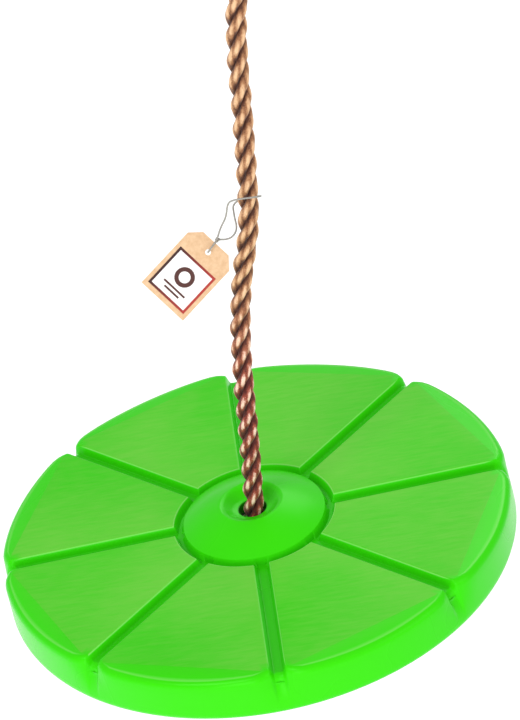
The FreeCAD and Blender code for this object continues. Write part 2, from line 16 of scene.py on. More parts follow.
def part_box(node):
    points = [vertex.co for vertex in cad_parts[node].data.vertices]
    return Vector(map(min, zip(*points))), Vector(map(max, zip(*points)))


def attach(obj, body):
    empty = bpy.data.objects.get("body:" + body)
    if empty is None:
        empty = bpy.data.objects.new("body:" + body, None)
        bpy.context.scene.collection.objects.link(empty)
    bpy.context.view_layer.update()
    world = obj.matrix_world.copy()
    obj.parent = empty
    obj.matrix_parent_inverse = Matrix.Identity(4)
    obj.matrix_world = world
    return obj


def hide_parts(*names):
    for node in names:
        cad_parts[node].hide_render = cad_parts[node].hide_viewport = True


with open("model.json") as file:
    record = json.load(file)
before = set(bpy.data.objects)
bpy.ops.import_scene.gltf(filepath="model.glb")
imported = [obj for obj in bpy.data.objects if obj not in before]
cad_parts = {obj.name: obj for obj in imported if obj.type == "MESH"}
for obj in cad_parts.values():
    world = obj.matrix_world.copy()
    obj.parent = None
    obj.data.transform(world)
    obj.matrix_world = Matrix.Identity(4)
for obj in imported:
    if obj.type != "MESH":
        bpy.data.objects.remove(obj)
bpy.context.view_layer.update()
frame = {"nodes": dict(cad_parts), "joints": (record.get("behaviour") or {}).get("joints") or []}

LOG = logging.getLogger("plate_swing")
Colour = tuple[float, float, float]
Place = tuple[float, float, float]
MM = 0.001
MERGE_GAP = 2e-6                # points closer than this are one

JOINTS = {joint["name"]: joint for joint in frame["joints"]}


# ------------------------------------------------------------------ small tools
def deselect_all() -> None:
    """Leave nothing selected, in object mode."""
    if bpy.context.object is not None and bpy.context.object.mode != "OBJECT":
        bpy.ops.object.mode_set(mode="OBJECT")
    bpy.ops.object.select_all(action="DESELECT")


def make_active(piece: bpy.types.Object) -> None:
    """Select one piece alone and make it the active one."""
    deselect_all()
    piece.select_set(True)
    bpy.context.view_layer.objects.active = piece


def apply_modifiers(piece: bpy.types.Object) -> None:
    """Apply every modifier of a piece, in order."""
    make_active(piece)
    for modifier in list(piece.modifiers):
        bpy.ops.object.modifier_apply(modifier=modifier.name)


def settle(piece: bpy.types.Object) -> None:
    """Put a piece's place into its mesh, so that its object sits at the origin."""
    make_active(piece)
    bpy.ops.object.transform_apply(location=True, rotation=True, scale=True)


def smooth(piece: bpy.types.Object, degrees: float = 35.0) -> None:
    """Shade a piece smooth, apart from edges sharper than an angle."""
    make_active(piece)
    bpy.ops.object.shade_smooth_by_angle(angle=math.radians(degrees))


def close_and_face_out(piece: bpy.types.Object, gap: float) -> None:
    """Merge doubled points, then point all the faces outwards."""
    make_active(piece)
    bpy.ops.object.mode_set(mode="EDIT")
    bpy.ops.mesh.select_all(action="SELECT")
    bpy.ops.mesh.remove_doubles(threshold=gap)
    bpy.ops.mesh.normals_make_consistent(inside=False)
    bpy.ops.object.mode_set(mode="OBJECT")


def clamp(value: float, low: float = 0.0, high: float = 1.0) -> float:
    """Hold a number between two others."""
    return min(max(value, low), high)


def ease(share: float) -> float:
    """A share from 0 to 1 that starts and ends gently."""
    return share * share * (3 - 2 * share)


def put_in_scene(name: str, data: bpy.types.ID) -> bpy.types.Object:
    """Make an object of some data and link it to the scene."""
    piece = bpy.data.objects.new(name, data)
    bpy.context.scene.collection.objects.link(piece)
    return piece


def install(piece: bpy.types.Object, material: bpy.types.Material, slot: str, body: str,
            *nodes: str) -> None:
    """Give a piece its material and body, and hide the CAD nodes it stands for.

    Args:
        piece: the piece.
        material: its one material.
        slot: not used.
        body: the body it moves with.
        nodes: the CAD nodes it stands for.
    """
    piece.data.materials.clear()
    piece.data.materials.append(material)
    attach(piece, body)
    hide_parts(*nodes)


def merged_copy(node: str, name: str) -> bpy.types.Object:
    """A CAD node's mesh, copied and merged, as a piece that can be shaded smooth.

    Args:
        node: the CAD node's name.
        name: the new piece's name.

    Returns:
        The new piece.
    """
    piece = put_in_scene(name, frame["nodes"][node].data.copy())
    close_and_face_out(piece, MERGE_GAP)
    return piece


def frames_along(line: Sequence[Vector], side: Vector) -> list[tuple[Vector, Vector, Vector]]:
    """Point, first and second cross direction at each point of a line.

    Args:
        line: the points, in order.
        side: a direction that the line never runs along, which the first cross direction keeps near.

    Returns:
        One (point, across, over) for each point.
    """
    result = []
    last = len(line) - 1
    for index, point in enumerate(line):
        ahead = (line[min(index + 1, last)] - line[max(index - 1, 0)]).normalized()
        across = (side - ahead * side.dot(ahead)).normalized()
        result.append((point, across, ahead.cross(across)))
    return result


def even_points(line: Sequence[Vector], step: float) -> list[Vector]:
    """Points at an even step along a line, with both of its ends.

    Args:
        line: the line's own points.
        step: the wanted distance between the new points.

    Returns:
        The evenly spaced points.
    """
    travelled = [0.0]
    for before, after in zip(line, line[1:]):
        travelled.append(travelled[-1] + (after - before).length)
    count = max(2, round(travelled[-1] / step))
    result = []
    place = 0
    for index in range(count + 1):
        wanted = travelled[-1] * index / count
        while place < len(line) - 2 and travelled[place + 1] < wanted:
            place += 1
        share = (wanted - travelled[place]) / max(travelled[place + 1] - travelled[place], 1e-9)
        result.append(line[place].lerp(line[place + 1], clamp(share)))
    return result


def line_length(line: Sequence[Vector]) -> float:
    """How long a line is."""
    return sum((after - before).length for before, after in zip(line, line[1:]))


def open_curve(name: str, kind: str, route: Iterable[Sequence[float]],
               radius: float = 0.0) -> bpy.types.Object:
    """An open curve over a route, with round thickness where a radius is given.

    Args:
        name: the curve's name.
        kind: NURBS for a smooth curve, POLY for straight steps.
        route: the control points, in metres.
        radius: half the curve's thickness.

    Returns:
        The curve object.
    """
    data = bpy.data.curves.new(name, "CURVE")
    data.dimensions = "3D"
    spline = data.splines.new(kind)
    points = list(route)
    spline.points.add(len(points) - 1)
    for point, place in zip(spline.points, points):
        point.co = (*place, 1.0)
    if kind == "NURBS":
        spline.order_u = 3
        spline.use_endpoint_u = True
        spline.resolution_u = 24
    data.bevel_depth = radius
    return put_in_scene(name, data)


def thread_mesh(name: str, points: Sequence[Vector], radius: float) -> bpy.types.Object:
    """A thin round thread through points, as a mesh with closed ends."""
    piece = open_curve(name, "POLY", points, radius)
    piece.data.bevel_resolution = 3
    piece.data.use_fill_caps = True
    make_active(piece)
    bpy.ops.object.convert(target="MESH")
    return piece


def nurbs_points(name: str, route: Iterable[Sequence[float]]) -> list[Vector]:
    """The points of the smooth curve through a route, as Blender draws it."""
    curve = open_curve(name, "NURBS", route)
    bpy.context.view_layer.update()
    graph = bpy.context.evaluated_depsgraph_get()
    mesh = bpy.data.meshes.new_from_object(curve.evaluated_get(graph))
    points = [vertex.co.copy() for vertex in mesh.vertices]
    bpy.data.meshes.remove(mesh)
    bpy.data.objects.remove(curve)
    return points


# ------------------------------------------------------------------ materials
Feed = bpy.types.NodeSocket | float | Colour


class Nodes:
    """A new material's node tree, with short calls to fill it."""

    def __init__(self, name: str) -> None:
        """Start a material with its shader and output in place."""
        self.material = bpy.data.materials.new(name)
        self.material.use_nodes = True
        self.tree = self.material.node_tree
        self.shader = self.tree.nodes["Principled BSDF"]

    def add(self, kind: str, **settings) -> bpy.types.Node:
        """Add a node and set its properties."""
        node = self.tree.nodes.new(kind)
        for key, value in settings.items():
            setattr(node, key, value)
        return node

    def link(self, source: bpy.types.NodeSocket, target: bpy.types.NodeSocket) -> None:
        """Join two sockets."""
        self.tree.links.new(source, target)

    def place(self, scale: Sequence[float] = (1, 1, 1), turn: Sequence[float] = (0, 0, 0),
              source: str = "Object") -> bpy.types.NodeSocket:
        """Coordinates from the object or its UV map, turned and stretched."""
        coordinates = self.add("ShaderNodeTexCoord")
        mapping = self.add("ShaderNodeMapping")
        mapping.inputs["Scale"].default_value = scale
        mapping.inputs["Rotation"].default_value = turn
        self.link(coordinates.outputs[source], mapping.inputs["Vector"])
        return mapping.outputs["Vector"]

    def noise(self, vector: bpy.types.NodeSocket, scale: float, detail: float = 3.0,
              roughness: float = 0.5) -> bpy.types.NodeSocket:
        """Noise between 0 and 1."""
        node = self.add("ShaderNodeTexNoise")
        node.inputs["Scale"].default_value = scale
        node.inputs["Detail"].default_value = detail
        node.inputs["Roughness"].default_value = roughness
        self.link(vector, node.inputs["Vector"])
        return node.outputs["Fac"]

    def attribute(self, name: str) -> bpy.types.NodeSocket:
        """A number kept on the mesh's points."""
        return self.add("ShaderNodeAttribute", attribute_name=name).outputs["Fac"]

    def feed(self, target: bpy.types.NodeSocket, value: Feed) -> None:
        """Fill a socket from another socket, a number or a colour."""
        if isinstance(value, bpy.types.NodeSocket):
            self.link(value, target)
        else:
            target.default_value = (*value, 1.0) if isinstance(value, tuple) else value

    def math(self, operation: str, first: Feed, second: Feed = 0.0) -> bpy.types.NodeSocket:
        """One sum on sockets or numbers."""
        node = self.add("ShaderNodeMath", operation=operation)
        self.feed(node.inputs[0], first)
        self.feed(node.inputs[1], second)
        return node.outputs[0]

    def ramp(self, value: bpy.types.NodeSocket,
             stops: Sequence[tuple[float, Sequence[float]]]) -> bpy.types.NodeSocket:
        """Colours by a number, from (place, colour) stops."""
        node = self.add("ShaderNodeValToRGB")
        elements = node.color_ramp.elements
        while len(elements) < len(stops):
            elements.new(0.5)
        for element, (spot, colour) in zip(elements, stops):
            element.position = spot
            element.color = (*colour, 1.0)
        self.link(value, node.inputs["Fac"])
        return node.outputs["Color"]

    def mix(self, share: Feed, first: Feed, second: Feed) -> bpy.types.NodeSocket:
        """Blend two colours by a share."""
        node = self.add("ShaderNodeMix", data_type="RGBA")
        for index, value in ((0, share), (6, first), (7, second)):
            self.feed(node.inputs[index], value)
        return node.outputs[2]

    def span(self, value: bpy.types.NodeSocket, low: float, high: float,
             to_low: float = 0.0, to_high: float = 1.0) -> bpy.types.NodeSocket:
        """Stretch a number from one span to another, and hold it there."""
        node = self.add("ShaderNodeMapRange")
        for key, number in (("From Min", low), ("From Max", high), ("To Min", to_low), ("To Max", to_high)):
            node.inputs[key].default_value = number
        self.link(value, node.inputs["Value"])
        return node.outputs[0]

    def bump(self, height: bpy.types.NodeSocket, strength: float, distance: float,
             normal: bpy.types.NodeSocket | None = None) -> bpy.types.NodeSocket:
        """A bump from a height, on top of another bump where one is given."""
        node = self.add("ShaderNodeBump")
        node.inputs["Strength"].default_value = strength
        node.inputs["Distance"].default_value = distance
        self.link(height, node.inputs["Height"])
        if normal is not None:
            self.link(normal, node.inputs["Normal"])
        return node.outputs["Normal"]

    def finish(self, colour: Feed, roughness: Feed, normal: bpy.types.NodeSocket | None = None,
               **numbers: float) -> bpy.types.Material:
        """Wire the shader up and return the material.

        Args:
            colour: a socket or a colour.
            roughness: a socket or a number.
            normal: a bump's socket.
            numbers: further shader inputs, with _ for each space.

        Returns:
            The finished material.
        """
        self.feed(self.shader.inputs["Base Color"], colour)
        self.feed(self.shader.inputs["Roughness"], roughness)
        if normal is not None:
            self.link(normal, self.shader.inputs["Normal"])
        for key, value in numbers.items():
            self.shader.inputs[key.replace("_", " ")].default_value = value
        return self.material


@dataclass(frozen=True)
class MouldedGreen:
    """Satin green plastic, paler and finely streaked on the pads, with painted sheen there, painted
    highlights along the groove lips and the bevel's outer edge, and painted shade in the grooves and the
    throat.
    """

    side: Colour = (0.038, 0.66, 0.003)
    pad: Colour = (0.042, 0.57, 0.003)
    pad_pale: Colour = (0.150, 0.585, 0.046)
    # painted shade colour, for the grooves and the throat
    painted_shade_colour: Colour = (0.012, 0.24, 0.002)
    # painted highlight colour, for the groove lips and the bevel's outer edge
    edge: Colour = (0.36, 0.80, 0.22)
    gloss: Colour = (0.35, 1.0, 0.25)
    roughness: float = 0.30

    def material(self) -> bpy.types.Material:
        """Colour by the pad mask, with streaks, painted sheen, painted highlights, painted shade, scuffs and
        a fine moulded grain.
        """
        nodes = Nodes("green_plastic")
        streaks = nodes.noise(nodes.place((7, 150, 150)), 3.0, 4.0, 0.6)
        clouds = nodes.noise(nodes.place(), 14.0, 2.0)
        pad_mask = nodes.attribute("pad")
        painted_shade = nodes.attribute("painted_shade")
        # paler pads: moulded streaks and clouds plus the painted sheen
        streaks_clouds_and_painted_sheen = nodes.math("ADD", nodes.span(streaks, 0.3, 0.75, -0.12, 0.30), nodes.attribute("sheen"))
        streaks_clouds_and_painted_sheen = nodes.math("ADD", streaks_clouds_and_painted_sheen, nodes.span(clouds, 0.3, 0.7, -0.22, 0.22))
        pad_streaks_and_sheen = nodes.mix(nodes.span(streaks_clouds_and_painted_sheen, 0.0, 1.0), self.pad, self.pad_pale)
        surface = nodes.mix(pad_mask, self.side, pad_streaks_and_sheen)
        # painted highlights along the groove lips and the bevel's outer edge
        surface = nodes.mix(nodes.attribute("edge"), surface, self.edge)
        # painted shade darkens the grooves and the throat
        colour = nodes.mix(painted_shade, surface, self.painted_shade_colour)
        grain = nodes.noise(nodes.place(), 900.0, 2.0)
        scuffs = nodes.noise(nodes.place((12, 300, 300)), 4.0, 3.0)
        fine = nodes.bump(grain, 0.05, 0.0004)
        normal = nodes.bump(nodes.math("MULTIPLY", scuffs, pad_mask), 0.12, 0.0005, fine)
        rough = nodes.math("ADD", nodes.span(clouds, 0.3, 0.7, -0.04, 0.05),
                           nodes.math("ADD", nodes.math("MULTIPLY", pad_mask, 0.10), self.roughness - 0.04))
        nodes.shader.inputs["Specular Tint"].default_value = (*self.gloss, 1.0)
        return nodes.finish(colour, rough, normal, Specular_IOR_Level=0.28)


@dataclass(frozen=True)
class HempRope:
    """Twisted rope fibre: painted shade between the strands, painted highlights on the crowns, redder
    towards the seat.
    """

    # dark and red_dark stand for painted shade between the strands and yarns, pale and red_painted_glint for
    # painted highlights and glints on the crowns; middle and red_middle lie between
    dark: Colour = (0.080, 0.020, 0.006)
    middle: Colour = (0.36, 0.155, 0.062)
    pale: Colour = (0.80, 0.50, 0.28)
    red_dark: Colour = (0.085, 0.006, 0.003)
    red_middle: Colour = (0.35, 0.062, 0.030)
    red_painted_glint: Colour = (0.98, 0.66, 0.54)

    def material(self, low: float, high: float) -> bpy.types.Material:
        """Colour by the painted light and shade on the crowns, redder below one height and tan above
        another.

        Args:
            low: the height below which the rope is all red-brown.
            high: the height above which it is all tan.

        Returns:
            The material.
        """
        nodes = Nodes("hemp_rope")
        crown_light_and_shade = nodes.attribute("crown_light_and_shade")
        fibres = nodes.noise(nodes.place((1, 1, 0.22)), 1500.0, 3.0, 0.6)
        blotches = nodes.noise(nodes.place((1, 1, 0.5)), 160.0, 3.0)
        tone = nodes.math("ADD", crown_light_and_shade, nodes.span(fibres, 0.3, 0.7, -0.16, 0.16))
        tone = nodes.math("ADD", tone, nodes.span(blotches, 0.3, 0.7, -0.12, 0.12))
        # the ramps run from painted shade in the crevices to painted highlights on the crowns
        tan = nodes.ramp(tone, [(0.15, self.dark), (0.52, self.middle), (0.92, self.pale)])
        red = nodes.ramp(tone, [(0.30, self.red_dark), (0.68, self.red_middle), (0.95, self.red_painted_glint)])
        split = nodes.add("ShaderNodeSeparateXYZ")
        nodes.link(nodes.place(), split.inputs[0])
        colour = nodes.mix(nodes.span(split.outputs[2], low, high), red, tan)
        normal = nodes.bump(fibres, 0.5, 0.0004)
        return nodes.finish(colour, 0.62, normal, Sheen_Weight=0.15, Specular_IOR_Level=0.35)


@dataclass(frozen=True)
class TwistedThread:
    """Thin twine or string with fine diagonal plies."""

    name: str
    dark: tuple[float, float, float]
    pale: tuple[float, float, float]
    ply_scale: float = 900.0

    def material(self) -> bpy.types.Material:
        """Diagonal bands with a little noise."""
        nodes = Nodes(self.name)
        wave = nodes.add("ShaderNodeTexWave", bands_direction="DIAGONAL")
        wave.inputs["Scale"].default_value = self.ply_scale
        wave.inputs["Distortion"].default_value = 2.0
        nodes.link(nodes.place(), wave.inputs["Vector"])
        fuzz = nodes.noise(nodes.place(), 2400.0, 2.0)
        tone = nodes.math("ADD", nodes.math("MULTIPLY", wave.outputs["Fac"], 0.6),
                          nodes.math("MULTIPLY", fuzz, 0.4))
        colour = nodes.ramp(tone, [(0.25, self.dark), (0.75, self.pale)])
        return nodes.finish(colour, 0.75, nodes.bump(tone, 0.5, 0.0003), Sheen_Weight=0.2)


@dataclass(frozen=True)
class PlatedSteel:
    """Bright plated steel, with faint drawing lines and handling marks."""

    name: str = "zinc_steel"
    colour: Colour = (0.50, 0.51, 0.53)
    roughness: float = 0.20

    def material(self) -> bpy.types.Material:
        """A metal with varied roughness and a faint grain."""
        nodes = Nodes(self.name)
        marks = nodes.noise(nodes.place(), 260.0, 4.0, 0.6)
        lines = nodes.noise(nodes.place((6, 6, 0.6)), 420.0, 2.0)
        tint = nodes.mix(nodes.span(marks, 0.35, 0.7, 0.0, 0.5), self.colour,
                         tuple(channel * 0.8 for channel in self.colour))
        rough = nodes.span(marks, 0.3, 0.7, self.roughness * 0.7, self.roughness * 1.7)
        return nodes.finish(tint, rough, nodes.bump(lines, 0.08, 0.0002), Metallic=1.0)


@dataclass(frozen=True)
class KraftCard:
    """Uncoated brown card with flecks and fibres."""

    colour: Colour = (0.79, 0.545, 0.335)
    dark: Colour = (0.66, 0.42, 0.235)

    def material(self) -> bpy.types.Material:
        """Mottled pulp with short darker fibres."""
        nodes = Nodes("kraft_card")
        pulp = nodes.noise(nodes.place(), 350.0, 5.0, 0.65)
        fibres = nodes.noise(nodes.place((1, 4, 4), (0.3, 0.2, 0.7)), 700.0, 3.0)
        colour = nodes.mix(nodes.span(pulp, 0.35, 0.7), self.colour, self.dark)
        colour = nodes.mix(nodes.span(fibres, 0.62, 0.75, 0.0, 0.45), colour, self.dark)
        return nodes.finish(colour, 0.85, nodes.bump(pulp, 0.25, 0.0003), Specular_IOR_Level=0.2)


@dataclass(frozen=True)
class PrintedLabel:
    """White paper with a plain dark frame, a ring and two bars, by the label's own UV map."""

    paper: Colour = (0.93, 0.92, 0.90)
    frame_dark: Colour = (0.030, 0.006, 0.004)
    frame_red: Colour = (0.42, 0.03, 0.02)
    mark: Colour = (0.075, 0.016, 0.012)
    frame_width: float = 0.055

    def material(self) -> bpy.types.Material:
        """Draw the frame and the marks from distances in the UV map."""
        nodes = Nodes("label_paper")
        coordinates = nodes.add("ShaderNodeTexCoord")
        split = nodes.add("ShaderNodeSeparateXYZ")
        nodes.link(coordinates.outputs["UV"], split.inputs[0])
        across = nodes.math("ABSOLUTE", nodes.math("SUBTRACT", split.outputs[0], 0.5))
        along = nodes.math("ABSOLUTE", nodes.math("SUBTRACT", split.outputs[1], 0.5))
        edge = nodes.math("GREATER_THAN", nodes.math("MAXIMUM", across, along), 0.5 - self.frame_width)
        raised = nodes.math("SUBTRACT", split.outputs[1], 0.58)
        reach = nodes.math("SQRT", nodes.math("ADD", nodes.math("POWER", across, 2.0),
                                              nodes.math("POWER", raised, 2.0)))
        ring = nodes.math("LESS_THAN", nodes.math("ABSOLUTE", nodes.math("SUBTRACT", reach, 0.17)), 0.046)
        bars = None
        for level, half in ((0.265, 0.29), (0.175, 0.20)):
            near = nodes.math("LESS_THAN", nodes.math("ABSOLUTE", nodes.math(
                "SUBTRACT", split.outputs[1], level)), 0.022)
            bar = nodes.math("MULTIPLY", near, nodes.math("LESS_THAN", across, half))
            bars = bar if bars is None else nodes.math("MAXIMUM", bars, bar)
        border = nodes.mix(split.outputs[0], self.frame_dark, self.frame_red)
        printed = nodes.mix(nodes.math("MAXIMUM", ring, bars), self.paper, self.mark)
        colour = nodes.mix(edge, printed, border)
        fibre = nodes.noise(nodes.place(), 1200.0, 3.0)
        return nodes.finish(colour, 0.6, nodes.bump(fibre, 0.1, 0.0002))


# ------------------------------------------------------------------ seat
class Zone(Enum):
    """Which surface of the moulding a ring of points belongs to."""

    HUB = 0
    RING = 1
    PAD = 2
    BEVEL = 3
    SIDE = 4
    UNDER = 5


@dataclass
class PlateSeat:
    """The moulded seat, worked out ring by ring in the seat's own frame, in millimetres."""

    radius: float = 147.5
    tilt_degrees: float = 9.0
    yaw_degrees: float = 4.0
    sectors: int = 8
    web_foot: float = 1.3
    floor: float = 7.8
    pad: float = 2.8
    pad_wall: float = 3.8
    depth: float = 27.0
    rim_wall: float = 4.0
    crease_radius: float = 134.0
    crease_slope: float = 4.5       # degrees, just outside the pad's edge
    bevel_curve: float = 0.006      # how fast that slope grows outwards
    notch_depth: float = 4.6        # the outline's dip at each groove's end
    notch_reach: float = 7.5
    rim_round: float = 4.2
    throat_radius: float = 7.8
    recess_floor_radius: float = 11.0
    recess_radius: float = 17.5
    dome_radius: float = 41.0
    dome_height: float = 10.0
    ring_outer: float = 46.5
    groove_depth: float = 5.0
    groove_half: float = 4.25
    groove_floor_half: float = 2.4
    groove_flare: float = 1.35      # how far the wall's top rounds over, in wall widths
    ring_floor_half: float = 0.8
    ring_flare: float = 1.3
    # how strongly the grooves get painted shade
    groove_shade: float = 0.26
    cavity_radius: float = 24.0
    cavity_wall: float = 3.5
    cavity_depth: float = 24.0
    hoop_radius: float = 86.0
    rib_half: float = 1.5
    beam_half: float = 6.0
    rib_depth: float = 22.0
    offsets: tuple[float, ...] = (0.0, 1.47, 1.53, 2.1, 2.4, 2.7, 3.1, 3.5, 3.9, 4.2, 4.5, 4.9, 5.4,
                                  5.97, 6.03, 6.8)
    shares: tuple[float, ...] = (0.06, 0.14, 0.24, 0.36, 0.5, 0.64, 0.77, 0.89, 1.0)
    pad_rings: int = 16
    overlap: float = 0.16           # how far the pads' rings start past the ring groove, in its widths
    foot_round: float = 2.2         # the rim's foot to the end of its plain wall
    web_outward: float = 3.9        # the thick web under the ring groove, out from it and in from it
    web_inward: float = 3.1
    hub_rise: float = 8.3           # how far the ceiling climbs under the dome
    level_slack: float = 0.06       # a point this close below the pad still belongs to it
    lip: float = 0.5                # the depth of a groove's painted highlight along its lip
    # strength of the painted highlight on the groove lips
    painted_lip_highlight: float = 0.6
    bevel_pad_mark: float = 0.4
    # strength of the painted highlight line on the bevel's outer edge
    bevel_painted_highlight: float = 0.3
    # painted sheen on the bevel
    bevel_sheen: float = 0.1
    sheen_parts: tuple[float, float, float] = (0.10, 0.42, 0.20)   # painted sheen: everywhere, across, inwards
    top_drop: float = 0.55          # the dome's rim below its highest level

    def place(self) -> Matrix:
        """From the seat's own millimetres to the model's metres."""
        pivot = Vector(JOINTS["seat_spin"]["pos_m"])
        return (Matrix.Translation(pivot)
                @ Matrix.Rotation(math.radians(-self.tilt_degrees), 4, "Y")
                @ Matrix.Rotation(math.radians(self.yaw_degrees), 4, "Z")
                @ Matrix.Scale(MM, 4))

    def columns(self) -> list[tuple[float, float | None, float | None]]:
        """The lines that run outwards: (groove direction, offset from it, share of the way to mid-pad)."""
        half = math.pi / self.sectors
        columns = []
        for sector in range(self.sectors):
            groove = 2 * half * sector
            before = [(groove, -offset, None) for offset in reversed(self.offsets[1:])]
            after = [(groove, offset, None) for offset in self.offsets]
            outward = [(groove, None, share) for share in self.shares]
            inward = [(groove + 2 * half, None, -share) for share in reversed(self.shares[:-1])]
            columns += before + after + outward + inward
        return columns

    def column_angle(self, column: tuple[float, float | None, float | None], radius: float) -> float:
        """The direction of a column at a radius, in radians."""
        groove, offset, share = column
        reach = max(radius, self.dome_radius)
        if offset is not None:
            return groove + math.asin(offset / reach)
        half = math.pi / self.sectors
        first = math.asin(self.offsets[-1] / reach)
        return groove + math.copysign(first + (half - first) * abs(share), share)

    def groove_level(self, offset: float) -> float:
        """The top surface's level at a distance from a groove's middle, or far above it outside."""
        wall = self.groove_half - self.groove_floor_half
        away = (offset - self.groove_floor_half) / wall
        if away <= 0:
            return self.pad - self.groove_depth
        if away >= self.groove_flare:
            return math.inf
        rise = clamp(away, 0.0, self.groove_flare) / self.groove_flare
        return self.pad - self.groove_depth * (1 - ease(rise))

    def ring_level(self, radius: float) -> float:
        """The level of the ring groove round the hub."""
        middle = (self.dome_radius + self.ring_outer) / 2
        half = (self.ring_outer - self.dome_radius) / 2
        away = (abs(radius - middle) - self.ring_floor_half) / (half - self.ring_floor_half)
        if away >= self.ring_flare:
            return math.inf
        rise = clamp(away, 0.0, self.ring_flare) / self.ring_flare
        return self.pad - self.groove_depth * (1 - ease(rise))

    def sheen_at(self, angle: float, radius: float) -> float:
        """How much painted sheen a pad gets: most at one side of each sector and towards the hub."""
        turn = (angle % (2 * math.pi / self.sectors)) / (2 * math.pi / self.sectors)
        inward = 1 - clamp((radius - self.ring_outer) / (self.radius - self.ring_outer))
        everywhere, across, inwards = self.sheen_parts
        return everywhere + across * turn + inwards * inward

    def rim_at(self, angle: float) -> float:
        """The outline's radius at the top in a direction, with its dips at the grooves' ends."""
        half = math.pi / self.sectors
        from_groove = half - abs((angle % (2 * half)) - half)
        away = self.radius * math.sin(from_groove) / self.notch_reach
        return self.radius - self.notch_depth * math.exp(-away * away)

    def crease_at(self, angle: float) -> float:
        """How far out the pad's straight outer edge is, in a direction."""
        half = math.pi / self.sectors
        from_middle = (angle % (2 * half)) - half
        return min(self.crease_radius / math.cos(from_middle), self.rim_at(angle) - self.rim_round)

    def bevel_level(self, radius: float, angle: float) -> float:
        """The level of the plane that slopes down from the crease."""
        half = math.pi / self.sectors
        from_middle = (angle % (2 * half)) - half
        beyond = max(radius * math.cos(from_middle) - self.crease_radius, 0.0)
        return self.pad - beyond * (math.tan(math.radians(self.crease_slope)) + self.bevel_curve * beyond)

    def hub_profile(self) -> list[tuple[float, float]]:
        """Throat, recess and dome, from the throat's foot out to the ring groove."""
        top = self.pad + self.dome_height
        points = [(self.throat_radius, self.web_foot), (self.throat_radius, self.floor - 1.0),
                  (self.throat_radius + 0.3, self.floor - 0.3), (self.throat_radius + 1.0, self.floor),
                  (self.recess_floor_radius - 0.8, self.floor),
                  (self.recess_floor_radius + 0.2, self.floor + 0.4)]
        run, rise = self.recess_radius - self.recess_floor_radius, top - self.floor
        for share in (0.2, 0.45, 0.7, 0.86):
            points.append((self.recess_floor_radius + 0.2 + run * share * 0.92, self.floor + rise * share))
        points += [(self.recess_radius - 0.5, top - self.top_drop), (self.recess_radius + 0.2, top - 0.12),
                   (self.recess_radius + 1.2, top - 0.15)]
        count = 14
        start = self.recess_radius + 2.4
        for index in range(count + 1):
            share = index / count
            radius = start + (self.dome_radius - start) * share
            fall = 0.62 * share + 0.38 * share * share
            points.append((radius, top - self.top_drop - (self.dome_height - self.top_drop) * fall))
        return points

    def rings(self) -> list[tuple[Zone, float, float]]:
        """Every ring of points in order, as (zone, value, level); each zone reads its values its own way."""
        rings = [(Zone.HUB, radius, level) for radius, level in self.hub_profile()]
        span = self.ring_outer - self.dome_radius
        rings += [(Zone.RING, self.dome_radius + span * share, 0.0)
                  for share in (0.07, 0.15, 0.24, 0.34, 0.5, 0.66, 0.76, 0.85, 0.93, 1.0, 1.08, 1.16)]
        rings += [(Zone.PAD, index / self.pad_rings, 0.0) for index in range(1, self.pad_rings + 1)]
        rings += [(Zone.BEVEL, share, 0.0) for share in (0.04, 0.1, 0.2, 0.4, 0.6, 0.8, 1.0)]
        rings += [(Zone.SIDE, share, 1.0) for share in (0.15, 0.3, 0.45, 0.6, 0.8, 1.0)]
        foot = self.pad - self.depth
        inner = self.radius - self.rim_wall
        rings += [(Zone.SIDE, share, 2.0) for share in (0.2, 0.45, 0.7, 0.9)]
        rings += [(Zone.UNDER, self.radius, foot + self.foot_round),
                  (Zone.UNDER, self.radius - 0.6, foot + 0.7),
                  (Zone.UNDER, self.radius - 2.0, foot), (Zone.UNDER, inner + 0.9, foot),
                  (Zone.UNDER, inner + 0.2, foot + 0.5)]
        rings += [(Zone.UNDER, inner, level) for level in (foot + 1.5, self.pad - self.rib_depth - 0.2)]
        rings += [(Zone.UNDER, inner, math.inf)]
        ceiling = [(inner - step, math.inf) for step in (0.1, 1.2, 14, 28, 40)]
        hoop_out, hoop_in = self.hoop_radius + self.rib_half, self.hoop_radius - self.rib_half
        ceiling += [(hoop_out + 0.05, math.inf), (hoop_out, -math.inf), (hoop_in, -math.inf),
                    (hoop_in - 0.05, math.inf)]
        boss = self.cavity_radius + self.cavity_wall
        ceiling += [(radius, math.inf) for radius in (72, 60, 50.4, 48, 39.5, 34, boss + 0.6)]
        rings += [(Zone.UNDER, radius, level) for radius, level in ceiling]
        low = self.web_foot - self.cavity_depth
        rings += [(Zone.UNDER, boss, level) for level in (-3.0, -12.0, low + 0.4)]
        rings += [(Zone.UNDER, boss - 0.4, low), (Zone.UNDER, self.cavity_radius + 0.4, low)]
        rings += [(Zone.UNDER, self.cavity_radius, level)
                  for level in (low + 0.4, -10.0, self.web_foot - 0.6)]
        rings += [(Zone.UNDER, radius, self.web_foot)
                  for radius in (self.cavity_radius - 0.6, 16.0, 10.0)]
        return rings

    def ceiling_level(self, radius: float, offset: float) -> float:
        """The underside's level under the pads, with its beams and ribs."""
        boss = self.cavity_radius + self.cavity_wall
        web_edge = self.dome_radius - self.web_inward
        if self.ring_outer + self.web_outward > radius > web_edge:
            level = self.pad - self.groove_depth - self.pad_wall
        elif radius <= web_edge:
            rise = (web_edge - radius) / (web_edge - boss)
            level = self.pad - self.groove_depth - self.pad_wall + self.hub_rise * rise
        else:
            level = self.pad - self.pad_wall
        if offset < self.beam_half and radius > self.dome_radius:
            level = min(level, self.pad - self.groove_depth - self.pad_wall)
        if offset < self.rib_half and radius < self.radius - self.rim_wall:
            level = self.pad - self.rib_depth
        return level

